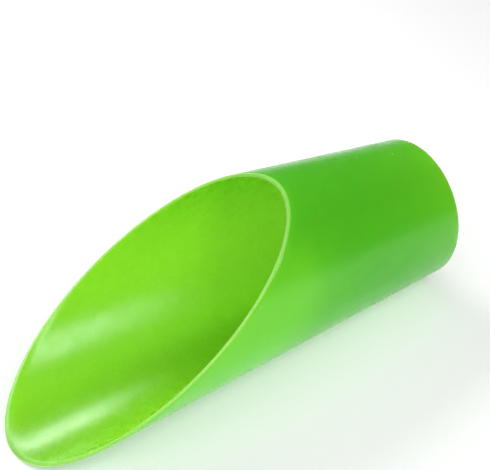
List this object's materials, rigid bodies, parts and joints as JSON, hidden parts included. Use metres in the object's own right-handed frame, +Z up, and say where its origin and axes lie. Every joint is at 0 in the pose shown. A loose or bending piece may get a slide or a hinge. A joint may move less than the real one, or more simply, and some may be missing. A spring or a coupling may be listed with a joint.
{
  "type": "soil scoop",
  "caption": "Tapered tubular plastic hand scoop for soil and potting mix, with a slanting oval mouth, a long rounded blade in front and a narrow hollow grip behind.",
  "frame": {"origin": "middle of the bounding box's bottom: on the plane that the scoop lies on, under the middle of its length", "axes": "+Z up, out of the mouth; +Y along the scoop's length from the blade's tip to the rear rim, so the blade points along -Y; +X across. The belly line lies on Z = 0, and the tube's axis rises towards the tip by the half-angle of the cone, about 4.6 degrees"},
  "size_m": [0.0676, 0.1648, 0.06],
  "materials": {
    "scoop_plastic": "satin"
  },
  "bodies": {
    "root": {"scoop": "scoop_plastic"}
  },
  "joints": []
}
